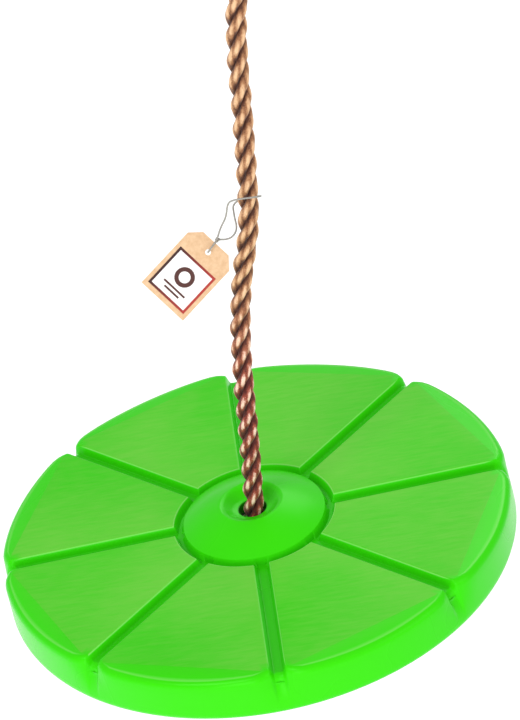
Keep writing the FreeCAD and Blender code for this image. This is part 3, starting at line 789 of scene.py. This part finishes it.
    def point(self, ring: tuple[Zone, float, float],
              column: tuple[float, float | None, float | None]) -> tuple[Vector, dict[str, float]]:
        """One point of the moulding, with its share of each surface mark: pad finish, painted shade, painted
        highlight and painted sheen.
        """
        zone, value, level = ring
        radius = value
        start = self.ring_outer + (self.ring_outer - self.dome_radius) * self.overlap
        if zone in (Zone.PAD, Zone.BEVEL, Zone.SIDE):
            rough_angle = self.column_angle(column, self.radius)
            crease = self.crease_at(rough_angle)
            rim = self.rim_at(rough_angle)
            full = clamp((rim - self.rim_round - crease) / 3.0)
            steepest = math.tan(math.radians(self.crease_slope)) + 2 * self.bevel_curve * (rim - crease)
            lead = math.atan(steepest) * full
            edge = rim - self.rim_round * (1 - math.sin(lead))
            if zone is Zone.PAD:
                eased = value ** 0.92
                radius = start + (crease - start) * eased
            elif zone is Zone.BEVEL:
                radius = crease + (edge - crease) * value
            else:
                radius = edge
        angle = self.column_angle(column, radius)
        offset = abs(radius * math.sin(angle - column[0]))
        painted_shade = pad = edge = sheen = 0.0
        if zone is Zone.HUB:
            height = level
            # the throat gets full painted shade
            painted_shade = 1.0 if radius < self.throat_radius + 0.5 else 0.0
        elif zone is Zone.UNDER:
            height = level
            if level == math.inf:
                height = self.ceiling_level(radius, offset)
            elif level == -math.inf:
                height = self.pad - self.rib_depth
        else:
            top = self.bevel_level(radius, angle) if zone is not Zone.RING else self.pad
            top = min(top, self.groove_level(offset), self.ring_level(radius))
            height = top
            sunk = (self.pad - top) / self.groove_depth
            if zone in (Zone.PAD, Zone.RING):
                # painted shade, deeper the lower the groove floor
                painted_shade = self.groove_shade * clamp(sunk)
                pad = 1.0 if self.pad - top < self.level_slack else 0.0
                walls = min(self.groove_level(offset), self.ring_level(radius))
                # a painted highlight along each groove's lip
                edge = self.painted_lip_highlight if 0.0 < self.pad - walls < self.lip else 0.0
                # painted sheen, paler to one side of each sector and towards the hub
                sheen = self.sheen_at(angle, radius)
            elif zone is Zone.BEVEL:
                in_groove = self.groove_level(offset) < self.pad
                # painted shade in a groove's end where it crosses the bevel
                painted_shade = self.groove_shade * clamp(sunk) if in_groove else 0.0
                pad = 0.0 if in_groove else self.bevel_pad_mark * (1 - value)
                # a painted highlight line along the bevel's outer edge
                edge = self.bevel_painted_highlight * full if value == 1.0 and not in_groove else 0.0
                sheen = self.bevel_sheen
            if zone is Zone.SIDE:
                sweep = lead + (math.pi / 2 - lead) * min(value, 1.0) if level == 1.0 else math.pi / 2
                radius = rim - self.rim_round + self.rim_round * math.sin(sweep)
                height = top - self.rim_round * (math.cos(lead) - math.cos(sweep))
                if level == 2.0:
                    foot = self.pad - self.depth + self.foot_round
                    height += (foot - height) * value
                    radius += (self.radius - radius) * (1 - (1 - value) ** 2)
                angle = self.column_angle(column, radius)
        place = Vector((radius * math.cos(angle), radius * math.sin(angle), height))
        return place, {"pad": pad, "painted_shade": painted_shade, "edge": edge, "sheen": sheen}

    def build(self) -> bpy.types.Object:
        """Lay a grid over the rings and columns, close it and shade it."""
        columns = self.columns()
        rings = self.rings()
        deselect_all()
        bpy.ops.mesh.primitive_grid_add(x_subdivisions=len(rings), y_subdivisions=len(columns), size=1)
        piece = bpy.context.object
        piece.name = "seat_plate"
        mesh = piece.data
        place = self.place()
        across = len(rings) + 1
        rows = len(columns) + 1
        marks = {name: [0.0] * len(mesh.vertices) for name in ("pad", "painted_shade", "edge", "sheen")}
        for row in range(rows):
            column = columns[row % len(columns)]
            for index in range(across):
                spot, shares = self.point(rings[index % len(rings)], column)
                number = row * across + index
                mesh.vertices[number].co = place @ spot
                for name, share in shares.items():
                    marks[name][number] = share
        for name, values in marks.items():
            layer = mesh.attributes.new(name, "FLOAT", "POINT")
            layer.data.foreach_set("value", values)
        close_and_face_out(piece, MERGE_GAP)
        smooth(piece, 42.0)
        install(piece, MouldedGreen().material(), "green_plastic", "seat", "seat_disc")
        LOG.info("seat: %d points", len(mesh.vertices))
        return piece


# ------------------------------------------------------------------ rope
@dataclass
class TwistedRope:
    """Three right-handed strands, laid round one line after another without a break in the twist."""

    diameter: float = 0.012
    strands: int = 3
    strand_share: float = 0.495     # a strand's radius, as a share of the rope's
    lay_top: float = 0.0435         # one full turn, high on the rope
    lay_foot: float = 0.041         # one full turn, near the seat
    lay_change_low: float = -0.46
    lay_change_high: float = -0.40
    yarns: int = 4
    yarn_height: float = 0.00055
    step: float = 0.0011
    around: int = 32
    merge_gap: float = 1e-7
    valley: float = 0.55            # the crowns' foot, inside which the rope gets full painted shade, as a share of the rope's radius
    yarn_floor: float = 0.25        # the painted light left in the painted shade between two yarns
    yarn_power: float = 0.6

    def lay_at(self, height: float) -> float:
        """The length of one turn at a height."""
        share = (height - self.lay_change_low) / (self.lay_change_high - self.lay_change_low)
        return self.lay_foot + (self.lay_top - self.lay_foot) * clamp(share)

    def mesh(self, name: str, line: Sequence[Vector], side: Vector, turn: float = 0.0,
             scale_at: Callable[[float], float] | None = None) -> tuple[bpy.types.Object, float]:
        """Build the strands along a line.

        Args:
            name: the new piece's name.
            line: the points to follow.
            side: a direction that the line never runs along.
            turn: the twist's angle at the first point.
            scale_at: the rope's size at a share of the line, from 0 to 1.

        Returns:
            The piece, and the twist's angle at the last point.
        """
        points = even_points(line, self.step)
        frames = frames_along(points, side)
        vertices, faces, crown_light_and_shade_values = [], [], []
        angles = [turn]
        for before, after in zip(points, points[1:]):
            lay = self.lay_at((before.z + after.z) / 2)
            angles.append(angles[-1] + 2 * math.pi * (after - before).length / lay)
        for strand in range(self.strands):
            base = len(vertices)
            for index, ((point, across, over), angle) in enumerate(zip(frames, angles)):
                scale = scale_at(index / (len(frames) - 1)) if scale_at else 1.0
                whole = self.diameter / 2 * scale
                strand_radius = whole * self.strand_share
                phase = angle + 2 * math.pi * strand / self.strands
                out = across * math.cos(phase) + over * math.sin(phase)
                beside = over * math.cos(phase) - across * math.sin(phase)
                centre = point + out * (whole - strand_radius)
                for spot in range(self.around):
                    bearing = 2 * math.pi * spot / self.around
                    yarn = abs(math.cos(self.yarns / 2 * (bearing + 2.0 * angle)))
                    radius = strand_radius - self.yarn_height * scale * (1.0 - yarn)
                    place = centre + (out * math.cos(bearing) + beside * math.sin(bearing)) * radius
                    vertices.append(place)
                    # painted shade deep between the strands and between the yarns, painted light on their
                    # crowns
                    reach = (place - point).length / whole
                    crown_light_and_shade_values.append(clamp((reach - self.valley) / (1 - self.valley))
                                  * (self.yarn_floor + (1 - self.yarn_floor) * yarn ** self.yarn_power))
            for index in range(len(frames) - 1):
                for spot in range(self.around):
                    after = (spot + 1) % self.around
                    low, high = base + index * self.around, base + (index + 1) * self.around
                    faces.append((low + spot, low + after, high + after, high + spot))
            last = base + (len(frames) - 1) * self.around
            faces.append(tuple(base + spot for spot in reversed(range(self.around))))
            faces.append(tuple(last + spot for spot in range(self.around)))
        data = bpy.data.meshes.new(name)
        data.from_pydata(vertices, [], faces)
        layer = data.attributes.new("crown_light_and_shade", "FLOAT", "POINT")
        layer.data.foreach_set("value", crown_light_and_shade_values)
        piece = put_in_scene(name, data)
        close_and_face_out(piece, self.merge_gap)
        smooth(piece, 60.0)
        return piece, angles[-1]


WINDING_PITCH = 0.96            # of the thread's diameter, so that the turns touch


def wound_thread(name: str, loop: Callable[[float], Vector], foot: float, head: float,
                 thread: float, steps: int = 48) -> bpy.types.Object:
    """Thread wound tightly round something, turn beside turn.

    Args:
        name: the new piece's name.
        loop: the winding's outline, as a level point for each share of a turn.
        foot: the lowest level.
        head: the highest level.
        thread: the thread's diameter.
        steps: points in one turn.

    Returns:
        The winding as a mesh.
    """
    turns = int((head - foot - thread) / (thread * WINDING_PITCH))
    points = []
    for index in range(turns * steps + 1):
        share = (index % steps) / steps
        level = foot + thread / 2 + (head - foot - thread) * index / (turns * steps)
        spot = loop(share)
        points.append(Vector((spot.x, spot.y, level)))
    piece = thread_mesh(name, points, thread / 2)
    smooth(piece, 60.0)
    return piece


@dataclass
class RopeAssembly:
    """The rope from its tail under the seat to its eye on the ring."""

    rope: TwistedRope = field(default_factory=TwistedRope)
    seat_level: float = -0.5229
    knot_top: float = -0.5255
    throat: float = -0.1197
    splice_foot: float = -0.1977
    ring_foot: float = -0.0807
    leg_offset: float = 0.0062
    eye_radius: float = 0.0093
    seizing_foot: float = -0.1187
    seizing_height: float = 0.014
    thread: float = 0.0013
    fine_thread: float = 0.0009
    taper_end: float = 0.25         # the second leg's size at its end, in rope sizes
    ease_run: int = 30              # points in one eased stretch of the eye
    path_step: float = 0.004        # between the points of the path
    knot_radius: float = 0.0085
    knot_turns: float = 2.25
    knot_clearance: float = 0.0045
    # foot to head: (x, y, height above the seat's tilt centre)
    wave: tuple[Place, ...] = (
        (-0.0010, 0.0, 0.048),
        (-0.0034, 0.0005, 0.090),
        (-0.0044, 0.0008, 0.130),
        (-0.0024, 0.0002, 0.166),
        (0.0032, -0.0004, 0.200),
        (0.0026, -0.0002, 0.238),
        (0.0014, 0.0004, 0.278),
        (0.0, 0.0, 0.302),
    )

    def main_line(self) -> list[Vector]:
        """The smooth line of the rope between the knot and the splice."""
        route = [(0.0, 0.0, self.knot_top - 0.0006)]
        route += [(x, y, self.seat_level + height) for x, y, height in self.wave]
        route.append((0.0, 0.0, self.splice_foot))
        return nurbs_points("rope_line", route)

    def eye_line(self) -> list[Vector]:
        """From the splice's foot up one leg, over the ring and down the other leg's end."""
        points = []
        rise = self.throat - self.splice_foot
        count = self.ease_run
        for index in range(count):
            share = index / count
            points.append(Vector((self.leg_offset * ease(share), 0.0, self.splice_foot + rise * share)))
        leg_top = self.throat + self.seizing_height + 0.002
        points.append(Vector((self.leg_offset, 0.0, self.throat)))
        points.append(Vector((self.leg_offset, 0.0, leg_top)))
        for index in range(1, count):
            share = index / count
            reach = self.leg_offset + (self.eye_radius - self.leg_offset) * ease(share)
            points.append(Vector((reach, 0.0, leg_top + (self.ring_foot - leg_top) * share)))
        for index in range(count + 1):
            angle = math.pi * index / count
            points.append(Vector((self.eye_radius * math.cos(angle), 0.0,
                                  self.ring_foot + self.eye_radius * math.sin(angle))))
        mirrored = [Vector((-point.x, 0.0, point.z)) for point in reversed(points[:2 * count + 1])]
        return points + mirrored

    def build(self, hemp: bpy.types.Material, twine: bpy.types.Material) -> None:
        line = self.main_line()
        side = Vector((0, 1, 0))
        rope, angle = self.rope.mesh("rope_strands", line, side)
        eye_line = self.eye_line()
        buried = (self.throat - self.splice_foot) / line_length(eye_line)

        def eye_size(share: float) -> float:
            """Full size as far as the second leg's foot, then tapering into the splice."""
            left = (1.0 - share) / buried
            return 1.0 if left >= 1.0 else self.taper_end + (1 - self.taper_end) * left

        eye, _ = self.rope.mesh("eye_strands", eye_line, side, angle, eye_size)
        self.stopper_knot(hemp)
        install(rope, hemp, "hemp_rope", "rope", "rope_main")
        install(eye, hemp, "hemp_rope", "rope", "rope_eye", "rope_splice")
        seizing = wound_thread("throat_seizing", self.oblong, self.seizing_foot,
                               self.seizing_foot + self.seizing_height, self.thread, 72)
        low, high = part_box("tail_whipping")
        whipping = wound_thread("tail_whipping_turns", self.round_outline, low.z, high.z, self.fine_thread)
        install(seizing, twine, "whipping_twine", "rope", "eye_seizing")
        install(whipping, twine, "whipping_twine", "rope", "tail_whipping")

    def oblong(self, share: float) -> Vector:
        """The outline round both legs of the eye."""
        reach = self.rope.diameter / 2 + self.thread / 2
        straight = 4 * self.leg_offset
        total = straight + 2 * math.pi * reach
        travelled = share * total
        if travelled < straight / 2:
            return Vector((-self.leg_offset + travelled, -reach, 0))
        travelled -= straight / 2
        if travelled < math.pi * reach:
            angle = -math.pi / 2 + travelled / reach
            return Vector((self.leg_offset + reach * math.cos(angle), reach * math.sin(angle), 0))
        travelled -= math.pi * reach
        if travelled < straight / 2:
            return Vector((self.leg_offset - travelled, reach, 0))
        angle = math.pi / 2 + (travelled - straight / 2) / reach
        return Vector((-self.leg_offset + reach * math.cos(angle), reach * math.sin(angle), 0))

    def round_outline(self, share: float) -> Vector:
        """The outline round the tail."""
        reach = self.rope.diameter / 2 + self.fine_thread / 2
        return Vector((reach * math.cos(2 * math.pi * share), reach * math.sin(2 * math.pi * share), 0))

    def stopper_knot(self, hemp: bpy.types.Material) -> None:
        """The barrel-shaped stopper knot under the seat, and the tail below it."""
        low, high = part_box("stopper_knot")
        middle = (low.z + high.z) / 2
        pitch = (high.z - low.z - self.rope.diameter - self.knot_clearance) / self.knot_turns
        points = []
        count = 120
        lead = 14
        top = high.z - self.rope.diameter / 2 - self.knot_clearance
        for index in range(lead):
            share = index / lead
            reach = self.knot_radius * ease(share)
            points.append(Vector((reach, 0, high.z + 0.002 + (top - high.z - 0.002) * share)))
        for index in range(count + 1):
            angle = 2 * math.pi * self.knot_turns * index / count
            points.append(Vector((self.knot_radius * math.cos(angle), self.knot_radius * math.sin(angle),
                                  top - pitch * angle / (2 * math.pi))))
        end = points[-1]
        for index in range(1, lead + 1):
            share = index / lead
            reach = 1 - ease(share)
            points.append(Vector((end.x * reach, end.y * reach, end.z + (low.z + 0.001 - end.z) * share)))
        coil, angle = self.rope.mesh("knot_turns", points, Vector((0.05, 0.03, 1)))
        tail_low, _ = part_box("rope_tail")
        core = [Vector((0, 0, middle + 0.004)), Vector((0, 0, middle - 0.004)), Vector((0, 0, tail_low.z))]
        tail, _ = self.rope.mesh("tail_strands", core, Vector((0, 1, 0)), angle)
        install(coil, hemp, "hemp_rope", "rope", "stopper_knot")
        install(tail, hemp, "hemp_rope", "rope", "rope_tail")


# ------------------------------------------------------------------ metal
@dataclass
class Hardware:
    """Snap hook, ring and washer: the CAD shapes, merged and shaded smooth."""

    pieces: tuple[tuple[str, str], ...] = (
        ("hook_body", "hook"), ("gate_rivet", "hook"), ("hook_gate", "gate"),
        ("gate_plunger", "gate"), ("gate_spring", "gate"), ("hang_ring", "ring"),
        ("knot_washer", "washer"),
    )

    def build(self) -> None:
        """Copy, shade and dress each metal piece."""
        plated = PlatedSteel().material()
        wire = PlatedSteel("spring_steel", (0.55, 0.55, 0.57), 0.25).material()
        for node, body in self.pieces:
            piece = merged_copy(node, node + "_metal")
            smooth(piece, 32.0)
            spring = node == "gate_spring"
            install(piece, wire if spring else plated, "spring_steel" if spring else "zinc_steel",
                    body, node)
            LOG.info("metal: %s", node)


# ------------------------------------------------------------------ hang tag
@dataclass
class HangTag:
    """Card, label and string, in the plane of the card."""

    lean_degrees: float = 36.0
    turn_degrees: float = 45.0
    width: float = 0.031
    length: float = 0.0433
    thickness: float = 0.0005
    chamfer: float = 0.006
    hole_inset: float = 0.0064
    hole_radius: float = 0.0016
    label_side: float = 0.0263
    label_lift: float = 0.0028
    label_thickness: float = 0.00013
    label_gap: float = 0.00001
    edge_round: float = 0.00008
    string_diameter: float = 0.001
    hitch_turns: float = 2.2
    hitch_reach: float = 0.85       # the hitch's turns, in string diameters
    hitch_share: float = 0.42       # its thread's radius, in string diameters
    # from the card's hole, round the rope and back: (right, up, out) in the card's plane
    route: tuple[Place, ...] = (
        (0.0000, 0.0000, 0.0001), (0.0006, 0.0007, 0.0022), (0.0030, 0.0036, 0.0024),
        (0.0052, 0.0068, 0.0009), (0.0073, 0.0129, 0.0047), (0.0108, 0.0187, 0.0103),
        (0.0115, 0.0248, 0.0186), (0.0141, 0.0268, 0.0292), (0.0300, 0.0280, 0.0307),
        (0.0301, 0.0294, 0.0118), (0.0143, 0.0272, 0.0097), (0.0151, 0.0186, 0.0069),
        (0.0165, 0.0126, 0.0041), (0.0144, 0.0083, 0.0015), (0.0106, 0.0065, 0.0004),
        (0.0056, 0.0069, -0.0005), (0.0030, 0.0036, -0.0022), (0.0006, 0.0007, -0.0022),
        (0.0000, 0.0000, -0.0001),
    )
    knot_spot: Place = (0.0054, 0.00685, 0.0002)

    def plane(self) -> Matrix:
        """From the card's plane, level with the view's right and up, to the model."""
        hole = Vector(JOINTS["card_swing"]["pos_m"])
        return Matrix.Translation(hole) @ Matrix.Rotation(math.radians(90 - self.lean_degrees), 4, "X")

    def card_frame(self) -> Matrix:
        """From the card's own axes, along its length, to the model."""
        return self.plane() @ Matrix.Rotation(math.radians(-self.turn_degrees), 4, "Z")

    def card(self) -> bpy.types.Object:
        """The card: a plane with cut corners and a punched hole, thickened and softly edged."""
        deselect_all()
        middle = self.hole_inset - self.length / 2
        bpy.ops.mesh.primitive_plane_add(size=1, location=(0, middle, 0))
        piece = bpy.context.object
        piece.name = "kraft_card"
        piece.scale = (self.width, self.length, 1)
        settle(piece)
        for part in (piece.data.polygons, piece.data.edges):
            part.foreach_set("select", [False] * len(part))
        for vertex in piece.data.vertices:
            vertex.select = vertex.co.y > 0
        bpy.ops.object.mode_set(mode="EDIT")
        bpy.context.tool_settings.mesh_select_mode = (True, False, False)
        bpy.ops.mesh.bevel(offset=self.chamfer, segments=1, affect="VERTICES")
        bpy.ops.object.mode_set(mode="OBJECT")
        solid = piece.modifiers.new("thickness", "SOLIDIFY")
        solid.thickness = self.thickness
        solid.offset = 0
        bpy.ops.mesh.primitive_cylinder_add(vertices=48, radius=self.hole_radius, depth=0.01)
        punch = bpy.context.object
        cut = piece.modifiers.new("hole", "BOOLEAN")
        cut.object = punch
        cut.operation = "DIFFERENCE"
        cut.solver = "EXACT"
        soft = piece.modifiers.new("edge", "BEVEL")
        soft.width = self.edge_round
        soft.segments = 2
        soft.limit_method = "ANGLE"
        apply_modifiers(piece)
        bpy.data.objects.remove(punch)
        piece.data.transform(self.card_frame())
        return piece

    def label(self) -> bpy.types.Object:
        """The printed square, with a UV map for its print."""
        deselect_all()
        low = self.hole_inset - self.length + self.label_lift
        bpy.ops.mesh.primitive_plane_add(size=self.label_side, location=(0, low + self.label_side / 2, 0))
        piece = bpy.context.object
        piece.name = "printed_label"
        settle(piece)
        solid = piece.modifiers.new("thickness", "SOLIDIFY")
        solid.thickness = self.label_thickness
        solid.offset = 1
        apply_modifiers(piece)
        lift = self.thickness / 2 + self.label_gap
        piece.data.transform(self.card_frame() @ Matrix.Translation((0, 0, lift)))
        return piece

    def string_knot(self) -> bpy.types.Object:
        """The string's overhand knot at the card's edge: two tight turns round both legs."""
        radius = self.string_diameter * self.hitch_reach
        spot = Vector(self.knot_spot)
        along = Vector((0.62, 0.78, 0.0))
        across = Vector((0.78, -0.62, 0.0))
        points = []
        steps = 60
        for index in range(steps + 1):
            angle = 2 * math.pi * self.hitch_turns * index / steps
            points.append(spot + across * math.cos(angle) * radius
                          + Vector((0, 0, 1)) * math.sin(angle) * radius
                          + along * (index / steps - 0.5) * 2.0 * self.string_diameter)
        piece = thread_mesh("string_hitch", points, self.string_diameter * self.hitch_share)
        piece.data.transform(self.plane())
        smooth(piece, 60.0)
        return piece

    def build(self) -> None:
        """Build the tag and its string."""
        plane = self.plane()
        route = [plane @ Vector(point) for point in self.route]
        string = open_curve("tag_string_line", "NURBS", route, self.string_diameter / 2)
        string.data.bevel_resolution = 4
        thread = TwistedThread("grey_string", (0.19, 0.18, 0.155), (0.52, 0.50, 0.46), 1400.0).material()
        knot = self.string_knot()
        install(string, thread, "grey_string", "tag_loop", "tag_string")
        install(knot, thread, "grey_string", "tag_loop", "string_knot")
        card, label = self.card(), self.label()
        install(card, KraftCard().material(), "kraft_card", "tag", "tag_card")
        install(label, PrintedLabel().material(), "label_paper", "tag", "tag_label")
        length = line_length(nurbs_points("string_measure", route))
        LOG.info("tag string: %.1f mm long", length / MM)


# ------------------------------------------------------------------ studio
@dataclass
class Studio:
    """White floor, soft lights and a long lens, level with the swing's own fall line."""

    elevation_degrees: float = 35.2
    roll_degrees: float = 2.1
    distance: float = 2.6
    pixels_per_metre: float = 1795.0
    target: Place = (0.0062, 0.0, -0.4125)
    frame_height: int = 720
    sensor: float = 36.0
    floor_level: float = -0.95
    floor_glow: float = 0.3
    world_strength: float = 0.62
    light_aim: Place = (0.0, 0.0, -0.45)
    # name, place, side, watts
    lights: tuple[tuple[str, Place, float, float], ...] = (
        ("key_light", (-2.0, -2.4, 2.6), 1.8, 58),
        ("front_light", (-0.6, -3.2, 0.0), 1.6, 30),
        ("fill_light", (2.8, -1.6, 1.4), 2.2, 26),
        ("back_light", (0.6, 3.0, 2.2), 2.0, 34),
    )

    def camera(self) -> None:
        """Aim the camera at the target and turn it about its own axis."""
        data = bpy.data.cameras.new("studio_camera")
        data.sensor_width = self.sensor
        data.lens = self.pixels_per_metre * self.distance / self.frame_height * self.sensor
        data.clip_end = 100
        camera = put_in_scene("studio_camera", data)
        rise = math.radians(self.elevation_degrees)
        back = Vector((0, -math.cos(rise), math.sin(rise)))
        camera.matrix_world = (Matrix.Translation(Vector(self.target) + back * self.distance)
                               @ Matrix.Rotation(math.pi / 2 - rise, 4, "X")
                               @ Matrix.Rotation(math.radians(-self.roll_degrees), 4, "Z"))
        bpy.context.scene.camera = camera

    def area_light(self, name: str, place: Sequence[float], size: float, watts: float) -> None:
        """A square soft light that faces the seat."""
        data = bpy.data.lights.new(name, "AREA")
        data.size = size
        data.energy = watts
        light = put_in_scene(name, data)
        aim = Vector(self.light_aim) - Vector(place)
        light.matrix_world = Matrix.Translation(place) @ aim.to_track_quat("-Z", "Y").to_matrix().to_4x4()

    def build(self) -> None:
        """Floor, lights, world and camera."""
        deselect_all()
        bpy.ops.mesh.primitive_plane_add(size=30, location=(0, 0, self.floor_level))
        floor = bpy.context.object
        floor.name = "studio_floor"
        nodes = Nodes("studio_white")
        nodes.shader.inputs["Emission Color"].default_value = (1, 1, 1, 1)
        floor.data.materials.append(nodes.finish((0.9, 0.9, 0.9), 0.9, Emission_Strength=self.floor_glow))
        world = bpy.data.worlds.new("studio_world")
        world.use_nodes = True
        background = world.node_tree.nodes["Background"].inputs
        background["Color"].default_value = (1, 1, 1, 1)
        background["Strength"].default_value = self.world_strength
        bpy.context.scene.world = world
        for name, place, size, watts in self.lights:
            self.area_light(name, place, size, watts)
        bpy.context.scene.view_settings.view_transform = "Standard"
        self.camera()


def main() -> None:
    """Build the swing, piece by piece, and its studio."""
    logging.basicConfig(level=logging.INFO, format="%(name)s: %(message)s")
    seat_level = JOINTS["seat_spin"]["pos_m"][2]
    hemp = HempRope().material(seat_level + 0.10, seat_level + 0.17)
    twine = TwistedThread("whipping_twine", (0.30, 0.19, 0.09), (0.66, 0.50, 0.31), 700.0).material()
    RopeAssembly().build(hemp, twine)
    PlateSeat().build()
    Hardware().build()
    HangTag().build()
    Studio().build()


if __name__ == "__main__":
    main()
